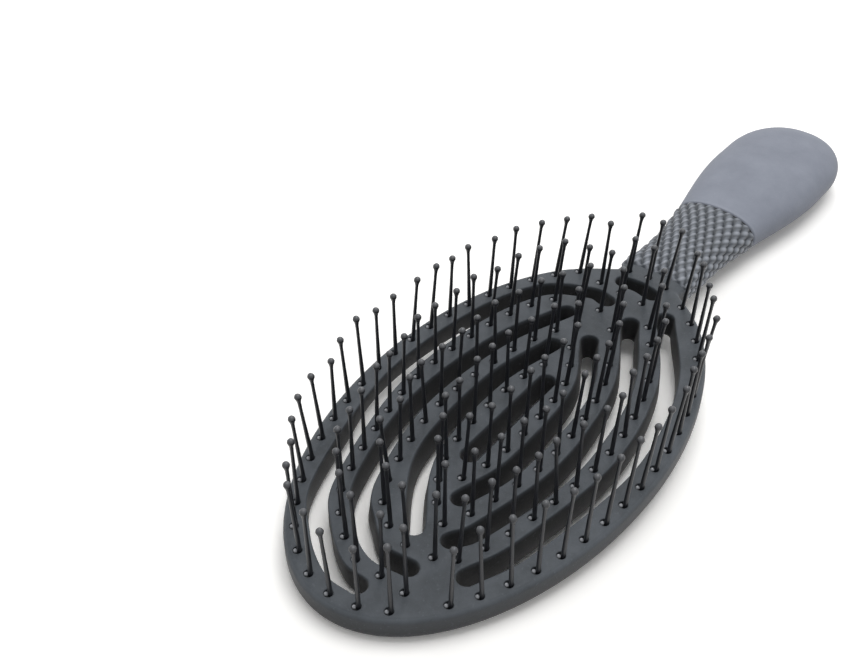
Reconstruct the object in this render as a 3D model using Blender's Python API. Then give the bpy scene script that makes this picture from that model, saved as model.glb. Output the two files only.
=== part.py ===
"""Vented grooming brush, lying on its back with the pins up.

The head is an oval moulding cut by two arms of slots that wind inwards from the rim, so that
narrow curved ribs are left between them. Rows of ball-tipped pins follow the ribs. The pins stand
on short strips that are laid in channels in the back of the moulding, come up through round holes
in its face, and are closed in by a back plate with the same slots. A tang of the same moulding
runs down the handle inside a textured neck sleeve and a smooth spoon-shaped grip.

X runs along the brush with the tip of the head at +X, Y runs across it, and Z is up. The origin is
below the middle of the brush, at the height of its lowest point. All lengths are in metres.
"""

import math

import bmesh
import bpy
import numpy as np
from mathutils import Vector
from mathutils.geometry import delaunay_2d_cdt

# Fits
clearance = 0.0003

# Head, measured from the middle of its oval
head_half_width = 0.0355
head_tip_length = 0.0631
head_neck_length = 0.0616
head_collar_length = 0.0044
neck_half_width = 0.0089
frame_depth = 0.0050
back_thickness = 0.0015
face_edge_round = 0.0008
back_edge_round = 0.0030
neck_blend_power = 4.0
head_end_length = head_neck_length + head_collar_length
head_depth = frame_depth + clearance + back_thickness

# Pins, their strips and the channels that hold the strips
pin_pitch = 0.0063
pin_height = 0.0178
pin_foot_radius = 0.00055
pin_top_radius = 0.00042
pin_ball_radius = 0.00105
pin_hole_radius = 0.00110
rim_land = 0.0003
channel_land = 0.00012
strip_depth = 0.0021
strip_end_run = 0.0006
strip_end_reach = 0.0008
rim_inset = face_edge_round + rim_land + pin_hole_radius
strip_half_width = pin_hole_radius + channel_land - clearance

# Ribs, with a wall on each side of the channel, and the slots in what is left between the ribs. Slots and
# rows are laid out on an oval with a half width of 1 and the two length shares below, in which a rib and
# the slot beside it take two of the half ribs counted here, and are then stretched to the head.
tip_length_share = 1.777
neck_length_share = 1.735
half_ribs_share = 7.89
rib_wall = 0.0011
rib_half_width = strip_half_width + clearance + rib_wall

# Neck and handle
neck_length = 0.0335
grip_length = 0.0616
swell_start_run = 0.0130
swell_end_run = 0.0291
handle_half_width = 0.0158
neck_half_thickness = 0.0051
handle_half_thickness = 0.0070
neck_axis_depth = 0.0044
handle_axis_depth = 0.0090
neck_start_run = 0.0066
handle_cap_length = 0.0220
grip_step = 0.0004
grip_lip_run = 0.0008
grip_start_length = head_end_length + neck_length
handle_end_length = grip_start_length + grip_length

# Tang inside the handle
tang_root_run = 0.0018
tang_end_run = 0.0131
tang_neck_half_width = 0.0042
tang_end_half_width = 0.0075
tang_half_thickness = 0.0016
tang_root_depth = 0.0030
tang_root_length = head_end_length - tang_root_run
tang_end_length = handle_end_length - tang_end_run

# Counts of facets
outline_steps = 36
slot_end_steps = 4
strip_end_steps = 3
hole_sides = 6
pin_sides = 5
sleeve_sides = 24
tang_sides = 16

# The slots' centrelines on the oval of half width 1, from one end to the other. "Near" slots cross the tip
# and "far" slots the neck side. The neck's own slot is measured across in half widths of the neck.
slot_shares = {
    "outer_near": [(-1.331, -0.105), (-1.338, -0.248), (-1.147, -0.539), (-0.618, -0.734), (0.187, -0.793),
                   (1.084, -0.582), (1.393, -0.347), (1.557, -0.105), (1.573, 0.074)],
    "outer_far": [(-1.402, 0.316), (-0.835, 0.644), (-0.062, 0.783), (0.805, 0.656), (1.176, 0.517)],
    "second_near": [(-1.069, -0.263), (-0.526, -0.464), (0.247, -0.536), (0.960, -0.378), (1.215, -0.168),
                    (1.329, 0.020), (1.315, 0.225)],
    "second_far": [(-1.218, 0.149), (-0.618, 0.437), (0.155, 0.526), (0.835, 0.390), (1.022, 0.297)],
    "third_near": [(-0.725, -0.155), (-0.187, -0.269), (0.558, -0.223), (1.068, 0.071)],
    "third_far": [(-0.894, 0.025), (-0.434, 0.238), (0.309, 0.263), (0.737, 0.155)],
    "centre": [(-0.395, 0.009), (0.426, -0.003)],
    "neck": [(-1.574, 0.443), (-1.598, 0.000), (-1.589, -0.471)],
}

# Rows of pins: the slot that a row runs beside (or the rim), its distance from it in half rib spacings (or
# rim insets; positive is left of the slot's direction), where the first and the last pin stand, as shares
# of the row's length, and the number of strips that the row is made in.
row_shares = {
    "rim_near": ("rim", 1.00, 0.043, 0.542, 4),
    "rim_far": ("rim", 1.00, 0.581, 0.972, 4),
    "rib_2_near": ("outer_near", 0.96, -0.008, 1.070, 4),
    "rib_2_far": ("outer_far", -1.00, 0.041, 0.995, 3),
    "rib_3_near": ("second_near", 1.00, 0.005, 1.029, 3),
    "rib_3_far": ("second_far", -1.00, 0.044, 0.998, 3),
    "rib_4_near": ("third_near", 0.90, 0.108, 0.895, 2),
    "rib_4_far": ("third_far", -0.94, 0.056, 0.938, 2),
    "throat": ("outer_near", -1.00, -0.048, 0.039, 1),
    "neck": ("neck", -1.00, -0.150, 1.156, 1),
}


def clear_scene():
    for item in list(bpy.data.objects):
        bpy.data.objects.remove(item, do_unlink=True)


def make_material(name, colour, roughness, metallic=0.0):
    material = bpy.data.materials.new(name)
    material.use_nodes = True
    shader = material.node_tree.nodes["Principled BSDF"]
    shader.inputs["Base Color"].default_value = (*colour, 1.0)
    shader.inputs["Roughness"].default_value = roughness
    shader.inputs["Metallic"].default_value = metallic
    material.diffuse_color = (*colour, 1.0)
    return material


# Plane curves

def spline(points, steps):
    """A smooth curve through the points, with the given number of steps between neighbours."""
    points = np.asarray(points, float)
    if len(points) == 2:
        return points
    first = 2 * points[0] - points[1]
    last = 2 * points[-1] - points[-2]
    padded = np.vstack([first, points, last])
    curve = []
    for i in range(1, len(padded) - 2):
        before, start, end, after = padded[i - 1:i + 3]
        for t in np.arange(steps) / steps:
            curve.append(0.5 * (2 * start + (end - before) * t
                                + (2 * before - 5 * start + 4 * end - after) * t ** 2
                                + (3 * start - before - 3 * end + after) * t ** 3))
    curve.append(points[-1])
    return np.array(curve)


def normals_of(curve):
    """Unit vectors pointing to the left of an open curve's direction."""
    along = np.gradient(curve, axis=0)
    along /= np.linalg.norm(along, axis=1)[:, None]
    return np.stack([-along[:, 1], along[:, 0]], axis=1)


def lengths_of(curve):
    return np.concatenate([[0.0], np.cumsum(np.linalg.norm(np.diff(curve, axis=0), axis=1))])


def point_at(curve, distance):
    """The point at a distance along a curve, which runs on straight beyond its ends."""
    run = lengths_of(curve)
    if distance < 0:
        return curve[0] + (curve[0] - curve[1]) / (run[1] - run[0]) * -distance
    if distance > run[-1]:
        return curve[-1] + (curve[-1] - curve[-2]) / (run[-1] - run[-2]) * (distance - run[-1])
    return np.array([np.interp(distance, run, curve[:, 0]), np.interp(distance, run, curve[:, 1])])


def band(curve, half_width, end_reach, end_steps):
    """A closed anticlockwise outline round an open curve, with rounded ends."""
    left = normals_of(curve)
    along = np.stack([left[:, 1], -left[:, 0]], axis=1)
    outline = list(curve - left * half_width)
    for angle in np.linspace(-math.pi / 2, math.pi / 2, end_steps + 1)[1:-1]:
        outline.append(curve[-1] + along[-1] * end_reach * math.cos(angle) + left[-1] * half_width * math.sin(angle))
    outline += list((curve + left * half_width)[::-1])
    for angle in np.linspace(math.pi / 2, math.pi * 3 / 2, end_steps + 1)[1:-1]:
        outline.append(curve[0] + along[0] * end_reach * math.cos(angle) + left[0] * half_width * math.sin(angle))
    return np.array(outline)


def polygon(centre, radius, sides, turn=0.0):
    angles = turn + np.arange(sides) * 2 * math.pi / sides
    return np.asarray(centre) + radius * np.stack([np.cos(angles), np.sin(angles)], axis=1)


def head_outline():
    """The head's outline, anticlockwise from one side of the neck round the tip to the other side."""
    near = []
    for angle in np.linspace(math.pi / 2, 0, outline_steps // 2 + 1):
        x = -head_neck_length * math.sin(angle)
        oval = head_half_width * math.cos(angle)
        power = neck_blend_power
        near.append((x, -(oval ** power + neck_half_width ** power) ** (1 / power)))
    stretch = (head_half_width ** neck_blend_power + neck_half_width ** neck_blend_power) ** (1 / neck_blend_power)
    tip = []
    for angle in np.linspace(-math.pi / 2, math.pi / 2, outline_steps + 1)[1:-1]:
        tip.append((head_tip_length * math.cos(angle), stretch * math.sin(angle)))
    far = [(x, -y) for x, y in reversed(near)]
    start = [(-head_end_length, -neck_half_width)]
    end = [(-head_end_length, neck_half_width)]
    return np.array(start + near + tip + far + end)


def inset(outline, distance):
    """The head's outline drawn in by a distance, except at the flat end where the neck sleeve begins."""
    before = np.roll(outline, 1, axis=0)
    after = np.roll(outline, -1, axis=0)
    edge_in = outline - before
    edge_out = after - outline
    normal_in = np.stack([-edge_in[:, 1], edge_in[:, 0]], axis=1) / np.linalg.norm(edge_in, axis=1)[:, None]
    normal_out = np.stack([-edge_out[:, 1], edge_out[:, 0]], axis=1) / np.linalg.norm(edge_out, axis=1)[:, None]
    bisector = normal_in + normal_out
    bisector /= np.sum(bisector * normal_in, axis=1)[:, None]
    drawn = outline + bisector * distance
    drawn[0] = outline[0] + np.array([0.0, distance])
    drawn[-1] = outline[-1] - np.array([0.0, distance])
    return drawn


def stretched(points, slot):
    """Points that were laid out on the oval of half width 1, stretched to the head."""
    x, y = points.T
    x = x * np.where(x > 0, head_tip_length / tip_length_share, head_neck_length / neck_length_share)
    return np.stack([x, y * (neck_half_width if slot == "neck" else head_half_width)], axis=1)


def slot_outline(name):
    """The outline of a slot, as wide as the ribs leave room for on a head of this size."""
    head_mean = (head_half_width * 2 + head_tip_length / tip_length_share + head_neck_length / neck_length_share) / 4
    half_width = head_mean / half_ribs_share - rib_half_width
    curve = stretched(spline(slot_shares[name], 3), name)
    return band(curve, half_width, half_width, slot_end_steps)


# Pin positions

def strips_of_pins():
    """Each strip's name, the curve that it follows and its pins' distances along it, near the pin pitch."""
    strips = []
    for name, (slot, share, first, last, parts) in row_shares.items():
        if slot == "rim":
            curve = inset(head_outline(), rim_inset * share)[1:-1]
        else:
            centre = spline(slot_shares[slot], 12)
            curve = stretched(centre + normals_of(centre) / half_ribs_share * share, slot)
        length = lengths_of(curve)[-1]
        count = round((last - first) * length / pin_pitch) + 1
        places = np.linspace(first, last, count) * length
        for number, group in enumerate(np.array_split(places, parts)):
            strips.append((f"pins_{name}_{number + 1:02d}", curve, group))
    return strips


# Solids

class Shell:
    """Loops of points and the faces between them, gathered into one closed body."""

    def __init__(self):
        self.points = []
        self.faces = []

    def loop(self, outline, height):
        start = len(self.points)
        self.points += [(x, y, height) for x, y in outline]
        return list(range(start, start + len(outline)))

    def ring(self, points):
        start = len(self.points)
        self.points += [tuple(p) for p in points]
        return list(range(start, start + len(points)))

    def wall(self, first, second):
        count = len(first)
        for i in range(count):
            j = (i + 1) % count
            self.faces.append((first[i], first[j], second[j], second[i]))

    def close(self, ring, point):
        tip = len(self.points)
        self.points.append(tuple(point))
        count = len(ring)
        for i in range(count):
            self.faces.append((ring[i], ring[(i + 1) % count], tip))

    def fill(self, outer, inner):
        """Triangles over the area inside one flat loop and outside the others."""
        loops = [outer] + inner
        order = [index for loop in loops for index in loop]
        flat = np.array([self.points[index][:2] for index in order])
        edges = []
        start = 0
        for loop in loops:
            count = len(loop)
            edges += [(start + i, start + (i + 1) % count) for i in range(count)]
            start += count
        span = float(np.abs(flat).max())
        found = delaunay_2d_cdt([Vector(p) for p in flat / span], edges, [], 0, 0.0, True)
        places = [origins[0] for origins in found[3]]
        triangles = [tuple(places[index] for index in face) for face in found[2]]
        inside = between_fences(triangles, {frozenset(edge) for edge in edges})
        self.faces += [tuple(order[index] for index in triangles[number]) for number in inside]

    def build(self, name, material):
        mesh = bpy.data.meshes.new(name)
        mesh.from_pydata(self.points, [], self.faces)
        work = bmesh.new()
        work.from_mesh(mesh)
        bmesh.ops.recalc_face_normals(work, faces=work.faces[:])
        work.to_mesh(mesh)
        work.free()
        mesh.shade_smooth()
        mesh.set_sharp_from_angle(angle=math.radians(35))
        mesh.materials.append(material)
        item = bpy.data.objects.new(name, mesh)
        bpy.context.scene.collection.objects.link(item)
        return item


def between_fences(triangles, fences):
    """The numbers of the triangles reached from outside by crossing the fences an odd number of times."""
    beside = {}
    for number, triangle in enumerate(triangles):
        for edge in zip(triangle, triangle[1:] + triangle[:1]):
            beside.setdefault(frozenset(edge), []).append(number)
    waiting = [(owners[0], edge in fences) for edge, owners in beside.items() if len(owners) == 1]
    inside = {}
    while waiting:
        number, state = waiting.pop()
        if number in inside:
            continue
        inside[number] = state
        triangle = triangles[number]
        for edge in map(frozenset, zip(triangle, triangle[1:] + triangle[:1])):
            waiting += [(other, state != (edge in fences)) for other in beside[edge] if other != number]
    return sorted(number for number, state in inside.items() if state)


def back_inset(depth):
    """How far the rounded back edge is drawn in at a depth below the face."""
    below = max(0.0, depth - (head_depth - back_edge_round))
    return back_edge_round - math.sqrt(max(0.0, back_edge_round ** 2 - below ** 2))


def strip_outline(curve, group, extra):
    """The outline of a strip, or of its channel when an extra width is asked for."""
    stops = [group[0] - strip_end_run, *group, group[-1] + strip_end_run]
    path = np.array([point_at(curve, stop) for stop in stops])
    return band(path, strip_half_width + extra, strip_end_reach + extra, strip_end_steps)


def pin_places(curve, group):
    return [(point_at(curve, stop), heading(curve, stop)) for stop in group]


def heading(curve, stop):
    step = point_at(curve, stop + pin_foot_radius) - point_at(curve, stop - pin_foot_radius)
    return math.atan2(step[1], step[0])


def make_frame(strips, material):
    """The head moulding: slots right through, holes in the face and channels in the back."""
    shell = Shell()
    outline = head_outline()
    edge = [(face_edge_round, 0.0), (face_edge_round * 0.3, -face_edge_round * 0.3), (0.0, -face_edge_round),
            (0.0, back_edge_round - head_depth), (back_inset(frame_depth), -frame_depth)]
    sides = [shell.loop(inset(outline, distance), height) for distance, height in edge]
    for upper, lower in zip(sides, sides[1:]):
        shell.wall(upper, lower)
    face_openings = []
    back_openings = []
    for name in slot_shares:
        slot = slot_outline(name)
        upper = shell.loop(slot, 0.0)
        lower = shell.loop(slot, -frame_depth)
        shell.wall(upper, lower)
        face_openings.append(upper)
        back_openings.append(lower)
    ceiling = strip_depth + clearance - frame_depth
    for name, curve, group in strips:
        channel = strip_outline(curve, group, clearance)
        upper = shell.loop(channel, ceiling)
        lower = shell.loop(channel, -frame_depth)
        shell.wall(upper, lower)
        back_openings.append(lower)
        holes = []
        for place, turn in pin_places(curve, group):
            hole = polygon(place, pin_hole_radius, hole_sides, turn)
            top = shell.loop(hole, 0.0)
            bottom = shell.loop(hole, ceiling)
            shell.wall(top, bottom)
            face_openings.append(top)
            holes.append(bottom)
        shell.fill(upper, holes)
    shell.fill(sides[0], face_openings)
    shell.fill(sides[-1], back_openings)
    frame = shell.build("head_frame", material)
    tang = make_tang(0.0, "tang_form", material)
    tang.hide_render = True
    tang.display_type = 'WIRE'
    join = frame.modifiers.new("tang", 'BOOLEAN')
    join.operation = 'UNION'
    join.object = tang
    return frame, tang


def make_back(material):
    """The back plate, with the frame's slots and a rounded outer edge."""
    shell = Shell()
    outline = head_outline()
    top_depth = frame_depth + clearance
    run = head_depth - top_depth
    depths = [top_depth, top_depth + run * 0.5, top_depth + run * 0.85, head_depth]
    sides = [shell.loop(inset(outline, back_inset(depth)), -depth) for depth in depths]
    for upper, lower in zip(sides, sides[1:]):
        shell.wall(upper, lower)
    upper_openings = []
    lower_openings = []
    for name in slot_shares:
        slot = slot_outline(name)
        upper = shell.loop(slot, -top_depth)
        lower = shell.loop(slot, -head_depth)
        shell.wall(upper, lower)
        upper_openings.append(upper)
        lower_openings.append(lower)
    shell.fill(sides[0], upper_openings)
    shell.fill(sides[-1], lower_openings)
    return shell.build("head_back", material)


def make_strip(name, curve, group, material):
    """A strip of pins: a flat curved bar with tapered, ball-ended pins standing on it."""
    shell = Shell()
    outline = strip_outline(curve, group, 0.0)
    top = shell.loop(outline, strip_depth - frame_depth)
    bottom = shell.loop(outline, -frame_depth)
    shell.wall(top, bottom)
    shell.fill(bottom, [])
    ball_middle = pin_height - pin_ball_radius
    feet = []
    for place, turn in pin_places(curve, group):
        rings = [(pin_foot_radius, strip_depth - frame_depth),
                 (pin_top_radius, ball_middle - pin_ball_radius * 0.92),
                 (pin_ball_radius, ball_middle),
                 (pin_ball_radius * 0.7, ball_middle + pin_ball_radius * 0.7)]
        loops = [shell.loop(polygon(place, radius, pin_sides, turn), height) for radius, height in rings]
        for lower, upper in zip(loops, loops[1:]):
            shell.wall(lower, upper)
        shell.close(loops[-1], (place[0], place[1], pin_height))
        feet.append(loops[0])
    shell.fill(top, feet)
    return shell.build(name, material)


def smooth_step(value):
    value = min(1.0, max(0.0, value))
    return value * value * (3 - 2 * value)


def sleeve_section(length):
    """Half width, half thickness, axis depth and squareness of the handle at a length from the head's middle."""
    swell_start = head_end_length + swell_start_run
    swell_end = handle_end_length - swell_end_run
    swell = smooth_step((length - swell_start) / (swell_end - swell_start))
    half_width = neck_half_width + (handle_half_width - neck_half_width) * swell
    half_thickness = neck_half_thickness + (handle_half_thickness - neck_half_thickness) * swell
    fall = (handle_axis_depth - neck_axis_depth) / (handle_end_length - head_end_length)
    axis = neck_axis_depth + fall * (length - head_end_length)
    start = smooth_step((length - head_end_length) / neck_start_run)
    half_thickness = head_depth / 2 + (half_thickness - head_depth / 2) * start
    axis = head_depth / 2 + (axis - head_depth / 2) * start
    power = 3.6 - 1.4 * start
    cap = max(0.0, (length - (handle_end_length - handle_cap_length)) / handle_cap_length)
    half_width *= math.sqrt(max(0.0, 1 - min(1.0, cap) ** 2.2))
    half_thickness *= math.sqrt(max(0.0, 1 - min(1.0, cap) ** 2.6))
    return half_width, half_thickness, axis, power


def rounded(length, half_width, half_thickness, axis, power, sides):
    """A rounded section across the handle: an ellipse whose corners fill out as the power grows."""
    section = []
    for angle in np.arange(sides) * 2 * math.pi / sides:
        across = abs(math.cos(angle)) ** (2 / power) * math.copysign(1, math.cos(angle))
        up = abs(math.sin(angle)) ** (2 / power) * math.copysign(1, math.sin(angle))
        section.append((-length, half_width * across, -axis + half_thickness * up))
    return section


def tang_section(length, extra, sides):
    run = (length - tang_root_length) / (tang_end_length - tang_root_length)
    half_width = tang_neck_half_width + (tang_end_half_width - tang_neck_half_width) * smooth_step(run) + extra
    axis = max(tang_root_depth, sleeve_section(length)[2])
    blend = smooth_step((length - head_end_length) / neck_start_run)
    axis = tang_root_depth + (axis - tang_root_depth) * blend
    return rounded(length, half_width, tang_half_thickness + extra, axis, 4.0, sides)


def make_tang(extra, name, material):
    shell = Shell()
    middle = (tang_root_length + tang_end_length) / 2
    stops = [tang_root_length, head_end_length, head_end_length + neck_start_run / 2,
             head_end_length + neck_start_run, middle, tang_end_length]
    rings = [shell.ring(tang_section(stop, extra, tang_sides)) for stop in stops]
    for first, second in zip(rings, rings[1:]):
        shell.wall(first, second)
    shell.faces.append(tuple(rings[0]))
    shell.faces.append(tuple(rings[-1]))
    return shell.build(name, material)


def make_neck(material):
    """The sleeve on the neck, open at both ends for the tang."""
    shell = Shell()
    start = head_end_length + clearance
    end = grip_start_length - clearance
    run = start + neck_start_run
    stops = [start, start + neck_start_run * 0.35, start + neck_start_run * 0.7, run]
    stops += list(np.linspace(run, end, 6)[1:])
    outer = [shell.ring(rounded(stop, *sleeve_section(stop), sleeve_sides)) for stop in stops]
    bore = [shell.ring(tang_section(stop, clearance, sleeve_sides)) for stop in stops]
    for first, second in zip(outer, outer[1:]):
        shell.wall(first, second)
    for first, second in zip(bore, bore[1:]):
        shell.wall(first, second)
    shell.wall(outer[0], bore[0])
    shell.wall(outer[-1], bore[-1])
    return shell.build("neck_sleeve", material)


def make_grip(material):
    """The smooth spoon-shaped grip, a little proud of the neck, with a blind bore for the tang."""
    shell = Shell()
    shoulder = grip_start_length + grip_lip_run
    cap_start = handle_end_length - handle_cap_length
    stops = list(np.linspace(shoulder, cap_start, 7))
    cap = [cap_start + handle_cap_length * share for share in (0.3, 0.55, 0.75, 0.89, 0.97)]
    outer = []
    for stop in [grip_start_length] + stops + cap:
        half_width, half_thickness, axis, power = sleeve_section(stop)
        proud = grip_step if stop > grip_start_length else 0.0
        shrink = half_width / sleeve_section(cap_start)[0] if stop > cap_start else 1.0
        outer.append(shell.ring(rounded(stop, half_width + proud * shrink, half_thickness + proud * shrink,
                                        axis, power, sleeve_sides)))
    bore_end = tang_end_length + clearance
    bore_stops = [grip_start_length] + list(np.linspace(shoulder, bore_end, 4))
    bore = [shell.ring(tang_section(stop, clearance, sleeve_sides)) for stop in bore_stops]
    for first, second in zip(outer, outer[1:]):
        shell.wall(first, second)
    for first, second in zip(bore, bore[1:]):
        shell.wall(first, second)
    shell.wall(outer[0], bore[0])
    shell.faces.append(tuple(bore[-1]))
    end_axis = sleeve_section(handle_end_length)[2]
    shell.close(outer[-1], (-handle_end_length, 0.0, -end_axis))
    return shell.build("handle_grip", material)


def settle(items):
    """Move everything so that the origin lies below the middle, at the lowest point."""
    corners = []
    for item in items:
        if item.display_type != 'WIRE':
            corners += [vertex.co for vertex in item.data.vertices]
    corners = np.array(corners)
    low = corners.min(axis=0)
    high = corners.max(axis=0)
    shift = Vector((-(low[0] + high[0]) / 2, -(low[1] + high[1]) / 2, -low[2]))
    for item in items:
        item.location = shift


def main():
    clear_scene()
    slate = make_material("slate_moulding", (0.060, 0.068, 0.077), 0.62)
    slate_back = make_material("slate_back", (0.055, 0.062, 0.070), 0.66)
    sleeve = make_material("textured_sleeve", (0.085, 0.095, 0.108), 0.68)
    grip = make_material("soft_grip", (0.140, 0.155, 0.178), 0.72)
    nylon = make_material("black_nylon", (0.012, 0.013, 0.015), 0.28)
    strips = strips_of_pins()
    frame, tang = make_frame(strips, slate)
    items = [frame, tang, make_back(slate_back)]
    for name, curve, group in strips:
        items.append(make_strip(name, curve, group, nylon))
    items.append(make_neck(sleeve))
    items.append(make_grip(grip))
    settle(items)


if __name__ == "__main__":
    main()
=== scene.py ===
"""A vented grooming brush lying on its back with the pins up, dressed over its CAD frame.

Lengths are in metres. The head is laid out from the middle of its oval with the tip at +X, and depths are
measured down from its face. The handle is laid out by the length from the same middle, towards -X. All
of it is moved to the frame's own place before a mesh is made.
"""

import math

import bpy
import numpy as np
from mathutils import Matrix, Vector
from mathutils.geometry import delaunay_2d_cdt


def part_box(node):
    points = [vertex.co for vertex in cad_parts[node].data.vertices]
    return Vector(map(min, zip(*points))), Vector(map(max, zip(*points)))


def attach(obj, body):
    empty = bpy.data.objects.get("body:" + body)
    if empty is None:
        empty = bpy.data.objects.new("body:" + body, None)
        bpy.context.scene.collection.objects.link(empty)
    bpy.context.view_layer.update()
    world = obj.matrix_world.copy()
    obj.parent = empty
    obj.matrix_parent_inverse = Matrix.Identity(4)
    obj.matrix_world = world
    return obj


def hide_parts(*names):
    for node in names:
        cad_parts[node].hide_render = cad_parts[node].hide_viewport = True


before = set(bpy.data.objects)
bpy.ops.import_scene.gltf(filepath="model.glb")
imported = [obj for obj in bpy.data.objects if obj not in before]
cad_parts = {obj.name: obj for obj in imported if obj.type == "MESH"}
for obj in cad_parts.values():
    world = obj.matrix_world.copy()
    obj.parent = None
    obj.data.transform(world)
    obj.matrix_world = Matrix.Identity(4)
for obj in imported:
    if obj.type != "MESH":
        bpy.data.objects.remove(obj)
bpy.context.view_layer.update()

# Where the CAD frame holds the head
head_tip_length = 0.0631
head_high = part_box("head_frame")[1]
middle_x = head_high.x - head_tip_length
face_height = head_high.z

# Head
head_half_width = 0.0355
head_neck_length = 0.0616
head_end_length = 0.0660
head_depth = 0.0068
neck_half_width = 0.0089
neck_squareness = 3.6
outline_power = 4.0
outline_steps = 60
collar_steps = 9
neck_end_steps = 22
past_neck_x = -0.1
tiny_length = 0.000001

# Rounded edges of the head, and where they grow and turn into the neck's section
face_round = 0.0014
back_round = 0.0028
flare_round = 0.0020
flare_start = -0.0500
flare_run = 0.0100
collar_start = -0.0580
collar_run = 0.0056
collar_turn_share = 0.56
face_edge_turns = (52, 44, 36, 27, 18, 9, 0)
back_edge_turns = (0, 12, 24, 36, 48, 60, 70, 80, 90)

# Slots, laid out on an oval of half width 1 that is this long towards the tip and the neck
layout_tip_length = 1.777
layout_neck_length = 1.735
slot_centres = {
    "outer_near": [(-1.331, -0.105), (-1.338, -0.248), (-1.147, -0.539), (-0.618, -0.734),
                   (0.187, -0.793), (1.084, -0.582), (1.393, -0.347), (1.557, -0.105), (1.573, 0.074)],
    "outer_far": [(-1.402, 0.316), (-0.835, 0.644), (-0.062, 0.783), (0.805, 0.656), (1.176, 0.517)],
    "second_near": [(-1.069, -0.263), (-0.526, -0.464), (0.247, -0.536), (0.960, -0.378),
                    (1.215, -0.168), (1.329, 0.020), (1.315, 0.225)],
    "second_far": [(-1.218, 0.149), (-0.618, 0.437), (0.155, 0.526), (0.835, 0.390), (1.022, 0.297)],
    "third_near": [(-0.725, -0.155), (-0.187, -0.269), (0.558, -0.223), (1.068, 0.071)],
    "third_far": [(-0.894, 0.025), (-0.434, 0.238), (0.309, 0.263), (0.737, 0.155)],
    "centre": [(-0.395, 0.009), (0.426, -0.003)],
    "neck": [(-1.574, 0.443), (-1.598, 0.000), (-1.589, -0.471)],
}
slot_half_width = 0.00218
slot_round = 0.00038
slot_edge_turns = (0, 25, 50, 70, 90)
slot_back_turns = (90, 72, 54, 36, 18, 0)
slot_back_spread = 0.0007
slot_draft_start_depth = 0.0012
slot_draft_start_share = 0.2
slot_end_steps = 20
slot_curve_steps = 14
slot_straight_steps = 40
slot_test_steps = 30
flat_margin = 0.00006

# How far each slot's walls close in towards the back, and how deep its edge there is rounded
slot_backs = {
    "outer_near": (0.0001, 0.0019),
    "outer_far": (0.0004, 0.0006),
    "second_near": (0.0007, 0.0010),
    "second_far": (0.0007, 0.0006),
    "third_near": (0.0009, 0.0006),
    "third_far": (0.0009, 0.0006),
    "centre": (0.0008, 0.0006),
    "neck": (0.0003, 0.0006),
}

# The outer near slot's opening towards the rim, and the stretch of its ring that opens
rim_opening = 0.0011
rim_oval_share = 0.80
rim_oval_run = 0.04
rim_side_distance = 0.0120
rim_side_run = 0.0100
rim_stretch_middle = -0.0050
rim_stretch_half_length = 0.0300
rim_stretch_run = 0.0150

# Pin holes. The mouth goes from the first pair to the last: shares of the rounding outwards and downwards
hole_radius = 0.00096
hole_round = 0.00013
hole_depth = 0.0013
hole_shift = -0.00008
hole_sides = 16
hole_mouth = ((1.25, 0.0), (1.0, 0.0), (0.4, 0.25), (0.0, 1.0))
hole_bottom_share = 0.97
hole_cone = 0.0001

# Loose points of the face and the back
loose_spacing = 0.0015
loose_first = (-0.0655, -0.0345)
loose_last = (0.0625, 0.0350)
loose_ring_shares = (0.55, 0.70, 0.86, 1.0, 1.06)
loose_edge_share = 1.25
loose_end_margin = 0.0003
loose_hole_margin = 0.00012
loose_slot_margin = 0.0003
loose_face_margin = 0.0007
loose_collar_margin = 0.0021
loose_back_margin = 0.0002
loose_back_start = -0.0560

# Painted light on the head: painted highlights along the face's edge and the slots' edges, and painted shade
# down the side wall, towards the back edge, on the slots' walls and in the pin holes. Below 0 it darkens,
# down to the deepest painted shade at -1
face_edge_highlight = 0.30
side_wall_shade = -0.45
back_edge_shade = -0.75
slot_edge_highlight = 0.2
slot_wall_shade = -0.9
hole_mouth_shade = -0.3
hole_bottom_shade = -0.8
# The deepest painted shade, also for the neck sleeve's end and the inside of the grip's lip
darkest_shade = -1.0

# Handle
grip_start_length = 0.0995
handle_end_length = 0.1611
swell_start_length = 0.0790
swell_end_length = 0.1320
handle_half_width = 0.0158
neck_half_thickness = 0.0051
handle_half_thickness = 0.0070
neck_axis_depth = 0.0044
handle_axis_depth = 0.0090
neck_start_run = 0.0066
handle_squareness = 2.2
handle_cap_length = 0.0220
cap_width_power = 2.2
cap_thickness_power = 2.6
turn_table_size = 2881

# Grip
grip_step = 0.0004
grip_sides = 112
grip_rings = 44
cap_rings = 34
lip_rings = 6
lip_run = 0.00055
lip_drop = 0.0008
# A painted highlight along the lip's edge, and how far from it it reaches
lip_highlight = 0.5
lip_highlight_reach = 0.0004

# Neck sleeve
sleeve_rings = 220
sleeve_tuck = 0.0006
sleeve_gap = 0.0005
collar_overlap = 0.0021
collar_sink = 0.00016
sleeve_sink = 0.00008
sink_run = 0.0002

# Bumps on the neck sleeve
bumps_round = 20
bump_sides = 16
bump_pitch = 0.0051
bump_height = 0.00088
bump_last_length = 0.0986
bump_turn_share = 0.28
bump_half_width_share = 0.47
bump_half_length_share = 0.45
bump_fullness = 0.8
bump_start_run = 0.0008
bump_end_gap = 0.0002
bump_end_run = 0.0007
# A painted highlight on each bump's side shifted round and along, and painted shade in the grooves
bump_highlight_shift = 0.17
bump_highlight = 1.4
bump_highlight_power = 1.6
groove_shade = -0.27

# Pins and the strips that hold them
pin_height = 0.0182
pin_foot_radius = 0.00050
pin_top_radius = 0.00037
pin_ball_radius = 0.00081
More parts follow.
